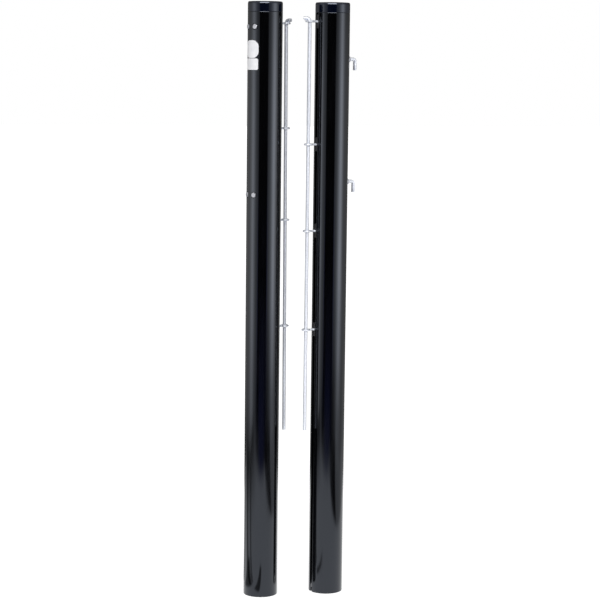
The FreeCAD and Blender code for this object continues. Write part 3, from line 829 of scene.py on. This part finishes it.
CAMERA_PLACE = Vector((-0.8482, -4.0355, 1.1923))
CAMERA_TURN = -13.016
CAMERA_PITCH = 7.252
CAMERA_ROLL = 0.650
CAMERA_LENS = 112.475
TOWARDS_CAMERA = Vector((math.sin(math.radians(CAMERA_TURN)), -math.cos(math.radians(CAMERA_TURN)), 0))
IMAGE_RIGHT = Vector((math.cos(math.radians(CAMERA_TURN)), math.sin(math.radians(CAMERA_TURN)), 0))
PAIR_MIDDLE = Vector((0.0755, 0.0, 0.0))

# Brightness of the room by direction: degrees to the right of the camera's side, level.
ROOM_WALLS = (
    (-180, 0.08), (-165, 0.14), (-150, 0.28), (-143, 0.38), (-125, 0.56), (-112, 0.70),
    (-101, 1.05), (-91, 1.60), (-82, 2.50), (-76, 2.80), (-68, 2.40), (-60, 1.50),
    (-52, 0.88), (-44, 0.64), (-36, 0.50), (-34, 0.0), (24, 0.0), (26, 0.50),
    (35, 0.68), (42, 1.00), (49, 1.60), (56, 2.55), (63, 3.60), (69, 4.10),
    (76, 3.60), (85, 2.10), (95, 0.95), (110, 0.58), (128, 0.34), (150, 0.20), (180, 0.08),
)
ROOM_FLOOR = (
    (-180, 0.08), (-140, 0.08), (-118, 0.07), (-104, 0.06), (-93, 0.07), (-84, 0.10),
    (-75, 0.12), (-66, 0.14), (-58, 0.26), (-51, 0.56), (-43, 0.16), (-37, 0.0),
    (-30, 0.0), (-22, 0.08), (-15, 0.15), (5, 0.15), (12, 0.12), (20, 0.05),
    (27, 0.0), (35, 0.0), (41, 0.04), (48, 0.10), (57, 0.42), (63, 0.70),
    (71, 0.74), (82, 0.74), (90, 0.66), (99, 0.52), (130, 0.48), (150, 0.30), (180, 0.08),
)
ROOM_UPPER = ((-180, 0.1), (-125, 0.1), (-90, 0.8), (-60, 0.9), (60, 0.9), (90, 0.8), (125, 0.1), (180, 0.1))
TOP_LIGHT = ((-180, 0.0), (-37, 0.0), (-34, 9.0), (24, 9.0), (27, 0.0), (180, 0.0))
# Shares by direction: where the left wall is, where the dark part is navy, and how much
# higher the left wall's lower edge lies towards the front.
LEFT_SIDE = ((-180, 1.0), (-38, 1.0), (-34, 0.0), (180, 0.0))
NAVY_SIDE = ((-180, 0.0), (-40, 0.0), (-34, 1.0), (22, 1.0), (32, 0.0), (180, 0.0))
NAVY = (0.42, 0.50, 1.55, 1)
LEFT_DIP = ((-180, 0.0), (-93, 0.0), (-66, 0.002), (-58, 0.005), (-36, 0.025), (180, 0.025))
BRIGHTEST = 9.0
CEILING = 0.3

# Painted shadows: dark strips on the glowing floor sheet, in metres to the right of the left
# post and towards the camera: start, end, half width, level, and the widening per metre.
FLOOR_SHADOWS = (
    ((-0.10, 0.105), (-1.50, 0.400), 0.012, 0.30, 0.090),
    ((-0.10, 0.070), (-1.50, -0.380), 0.012, 0.25, 0.140),
    ((-0.06, -0.10), (-0.95, -0.84), 0.045, 0.45, 0.130),
    ((-0.090, 0.03), (-0.36, 0.03), 0.075, 0.22, 0.0),
    ((-0.037, 0.075), (0.013, 0.31), 0.030, 0.15, 0.0),
)
FLOOR_BRIGHTNESS = 1.36


class FloorShader(Shader):
    """The floor's node helpers: numbers that vary over the floor."""

    def __init__(self, name):
        super().__init__(name)
        self.position = self.node("ShaderNodeNewGeometry").outputs["Position"]

    def measure(self, origin, direction):
        """Distance from a point along a direction."""
        away = self.node("ShaderNodeVectorMath", operation="SUBTRACT")
        self.link(self.position, away.inputs[0])
        away.inputs[1].default_value = origin
        dot = self.node("ShaderNodeVectorMath", operation="DOT_PRODUCT")
        self.link(away.outputs["Vector"], dot.inputs[0])
        dot.inputs[1].default_value = direction
        return dot.outputs["Value"]

    def steps(self, value, low, high, to_low, to_high):
        """A soft step from one level to another."""
        made = self.node("ShaderNodeMapRange", interpolation_type="SMOOTHSTEP")
        for socket, number in (("From Min", low), ("From Max", high), ("To Min", to_low), ("To Max", to_high)):
            made.inputs[socket].default_value = number
        self.link(value, made.inputs["Value"])
        return made.outputs["Result"]

    def maths(self, operation, first, second=None):
        """A maths node; each input may be a number or another node's output."""
        made = self.node("ShaderNodeMath", operation=operation)
        for socket, value in zip(made.inputs, (first, second)):
            if isinstance(value, float):
                socket.default_value = value
            elif value is not None:
                self.link(value, socket)
        return made.outputs["Value"]

    def product(self, values):
        """The values multiplied together."""
        total = values[0]
        for value in values[1:]:
            total = self.maths("MULTIPLY", total, value)
        return total

    def strip(self, start, end, half, level, flare):
        """1 over the floor, falling to a level within a soft strip that widens from start to end."""
        length = (end - start).length
        direction = (end - start).normalized()
        across = self.maths("ABSOLUTE", self.measure(start, direction.cross(Vector((0, 0, 1)))))
        along = self.measure(start, direction)
        width = self.maths("ADD", self.maths("MULTIPLY", along, float(flare)), float(half))
        beside = self.steps(self.maths("DIVIDE", across, width), 0.5, 1.3, 1.0, 0.0)
        begun = self.steps(along, -0.01, 0.03, 0.0, 1.0)
        ended = self.steps(along, length - 0.04, length + 0.02, 1.0, 0.0)
        inside = self.product((beside, begun, ended))
        return self.steps(inside, 0.0, 1.0, 1.0, level)


def floor_point(right, towards):
    """A place on the floor, in metres to the right of the left post and towards the camera."""
    return IMAGE_RIGHT * right + TOWARDS_CAMERA * towards


def make_floor():
    """A wide pale floor: white to the camera, and in reflections a glowing sheet (painted light) with painted
    shadows.
    """
    s = FloorShader("studio_floor")
    out = s.nodes["Material Output"]
    front = s.measure(PAIR_MIDDLE, TOWARDS_CAMERA)
    right = s.measure(PAIR_MIDDLE, IMAGE_RIGHT)
    # The four soft edges of the lit sheet.
    sheet = (
        s.steps(front, 1.10, 1.46, 1.0, 0.0),
        s.steps(front, -1.1, -0.9, 0.0, 1.0),
        s.steps(right, 1.45, 1.60, 1.0, 0.0),
        s.steps(right, -2.05, -1.80, 0.0, 1.0),
    )
    # A dark gap to the right of the posts, with a dimmer sheet beyond it.
    near_edge = s.maths("ADD", right, s.maths("MULTIPLY", front, 0.2))
    far_edge = s.maths("SUBTRACT", right, front)
    near_sheet = s.steps(near_edge, 0.69, 0.80, 1.0, 0.02)
    far_sheet = s.steps(far_edge, 0.40, 0.58, 0.0, 0.50)
    shadows = [s.maths("MAXIMUM", near_sheet, far_sheet), s.steps(right, -1.70, -0.50, 0.08, 1.0)]
    for begin, end, half, level, flare in FLOOR_SHADOWS:
        shadows.append(s.strip(floor_point(*begin), floor_point(*end), half, level, flare))
    # Painted light: the sheet glows in place of a lit sheet, and the painted shadows above darken that glow.
    painted_sheet_glow = s.node("ShaderNodeEmission")
    s.link(s.maths("MULTIPLY", s.product(shadows), FLOOR_BRIGHTNESS), painted_sheet_glow.inputs["Strength"])
    clear = s.node("ShaderNodeBsdfTransparent")
    unseen = s.node("ShaderNodeMixShader")
    s.link(s.product(sheet), unseen.inputs["Fac"])
    s.link(clear.outputs[0], unseen.inputs[1])
    s.link(painted_sheet_glow.outputs[0], unseen.inputs[2])
    # What the camera sees: white, with painted shade where a tube stands over it.
    white = s.node("ShaderNodeEmission")
    covered = s.node("ShaderNodeAmbientOcclusion")
    covered.inputs["Distance"].default_value = 0.6
    s.link(s.steps(covered.outputs["AO"], 0.12, 0.32, 0.0, 0.82), white.inputs["Strength"])
    faint = s.node("ShaderNodeBsdfDiffuse")
    faint.inputs["Color"].default_value = (0.5, 0.5, 0.5, 1)
    seen = s.node("ShaderNodeAddShader")
    s.link(white.outputs[0], seen.inputs[0])
    s.link(faint.outputs[0], seen.inputs[1])
    path = s.node("ShaderNodeLightPath")
    choose = s.node("ShaderNodeMixShader")
    s.link(path.outputs["Is Camera Ray"], choose.inputs["Fac"])
    s.link(unseen.outputs[0], choose.inputs[1])
    s.link(seen.outputs[0], choose.inputs[2])
    s.link(choose.outputs[0], out.inputs["Surface"])
    s.material.cycles.emission_sampling = "NONE"
    bpy.ops.mesh.primitive_plane_add(size=60, location=(0, 0, -0.0005))
    floor = bpy.context.object
    floor.name = "studio_floor"
    floor.data.materials.append(s.material)


def make_world():
    """A soft room that is white to the camera: bright walls at both sides, dark behind the camera."""
    world = bpy.data.worlds.new("studio")
    bpy.context.scene.world = world
    world.use_nodes = True
    nodes, links = world.node_tree.nodes, world.node_tree.links
    nodes.clear()
    coords = nodes.new("ShaderNodeTexCoord")

    def along(direction):
        dot = nodes.new("ShaderNodeVectorMath")
        dot.operation = "DOT_PRODUCT"
        dot.inputs[1].default_value = direction
        links.new(coords.outputs["Generated"], dot.inputs[0])
        return dot.outputs["Value"]

    def remap(value, low, high, to_low=0.0, to_high=1.0, kind="LINEAR"):
        made = nodes.new("ShaderNodeMapRange")
        made.interpolation_type = kind
        for socket, number in (("From Min", low), ("From Max", high), ("To Min", to_low), ("To Max", to_high)):
            made.inputs[socket].default_value = number
        links.new(value, made.inputs["Value"])
        return made.outputs["Result"]

    def blend(factor, first, second):
        """Mixes two levels; the second may be a plain number."""
        made = nodes.new("ShaderNodeMix")
        links.new(factor, made.inputs["Factor"])
        links.new(first, made.inputs["A"])
        if isinstance(second, float):
            made.inputs["B"].default_value = second
        else:
            links.new(second, made.inputs["B"])
        return made.outputs["Result"]

    def levels(position, stops, scale):
        """A level for each direction round the room, as a share of the scale."""
        made = nodes.new("ShaderNodeValToRGB")
        ramp = made.color_ramp
        while len(ramp.elements) < len(stops):
            ramp.elements.new(0.5)
        for element, (angle, level) in zip(ramp.elements, stops):
            element.position = (angle + 180) / 360
            element.color = (level / scale, level / scale, level / scale, 1)
        links.new(position, made.inputs["Fac"])
        return made.outputs["Color"]

    def maths(operation, first, second):
        made = nodes.new("ShaderNodeMath")
        made.operation = operation
        links.new(first, made.inputs[0])
        links.new(second, made.inputs[1])
        return made.outputs["Value"]

    # The position round the room goes from 0 to 1; the rise is the sine of the elevation.
    turn = nodes.new("ShaderNodeMath")
    turn.operation = "ARCTAN2"
    links.new(along(IMAGE_RIGHT), turn.inputs[0])
    links.new(along(TOWARDS_CAMERA), turn.inputs[1])
    position = remap(turn.outputs["Value"], -math.pi, math.pi)
    rise = along(Vector((0, 0, 1)))
    walls = maths("MULTIPLY", levels(position, ROOM_WALLS, BRIGHTEST), remap(rise, -0.01, 0.045, 1.0, 0.55))
    on_left = levels(position, LEFT_SIDE, 1.0)
    dimmed = maths("MULTIPLY", walls, remap(rise, -0.12, -0.184, 1.0, 0.68))
    walls = blend(on_left, walls, dimmed)
    left_rise = maths("SUBTRACT", rise, levels(position, LEFT_DIP, 1.0))
    low = blend(on_left, remap(rise, -0.132, -0.188), remap(left_rise, -0.192, -0.202))
    level = blend(low, walls, levels(position, ROOM_FLOOR, BRIGHTEST))
    # Upper walls, ceiling, and the one window in front.
    level = blend(remap(rise, 0.27, 0.33, kind="SMOOTHSTEP"), level, levels(position, ROOM_UPPER, BRIGHTEST))
    level = blend(remap(rise, 0.74, 0.82, kind="SMOOTHSTEP"), level, CEILING / BRIGHTEST)
    window = maths("MULTIPLY", remap(rise, 0.31, 0.34), remap(rise, 0.50, 0.54, 1.0, 0.0))
    level = maths("ADD", level, maths("MULTIPLY", window, levels(position, TOP_LIGHT, BRIGHTEST)))
    room = nodes.new("ShaderNodeBackground")
    tint = nodes.new("ShaderNodeMix")
    tint.data_type = "RGBA"
    tint.inputs["A"].default_value = (1, 1, 1, 1)
    tint.inputs["B"].default_value = NAVY
    navy = maths("MULTIPLY", levels(position, NAVY_SIDE, 1.0), remap(rise, -0.06, -0.10))
    links.new(navy, tint.inputs["Factor"])
    links.new(tint.outputs["Result"], room.inputs["Color"])
    links.new(remap(level, 0.0, 1.2, 0.0, 1.2 * BRIGHTEST), room.inputs["Strength"])
    white = nodes.new("ShaderNodeBackground")
    white.inputs["Color"].default_value = (1, 1, 1, 1)
    white.inputs["Strength"].default_value = 1.0
    path = nodes.new("ShaderNodeLightPath")
    mix = nodes.new("ShaderNodeMixShader")
    links.new(path.outputs["Is Camera Ray"], mix.inputs["Fac"])
    links.new(room.outputs[0], mix.inputs[1])
    links.new(white.outputs[0], mix.inputs[2])
    out = nodes.new("ShaderNodeOutputWorld")
    links.new(mix.outputs[0], out.inputs["Surface"])


def make_camera():
    """The camera that was fitted to the photograph's outlines."""
    camera = bpy.data.cameras.new("camera")
    camera.lens = CAMERA_LENS
    camera.sensor_width = 36
    camera.clip_start = 0.05
    camera.clip_end = 200
    rig = bpy.data.objects.new("camera", camera)
    bpy.context.scene.collection.objects.link(rig)
    pitch = math.radians(CAMERA_PITCH)
    forward = -TOWARDS_CAMERA * math.cos(pitch) + Vector((0, 0, -math.sin(pitch)))
    rig.location = CAMERA_PLACE
    turn = forward.to_track_quat("-Z", "Y").to_matrix().to_4x4()
    roll = Matrix.Rotation(math.radians(CAMERA_ROLL), 4, "Z")
    rig.rotation_euler = (turn @ roll).to_euler()
    bpy.context.scene.camera = rig


make_floor()
make_world()
make_camera()
bpy.context.scene.view_settings.view_transform = "Standard"
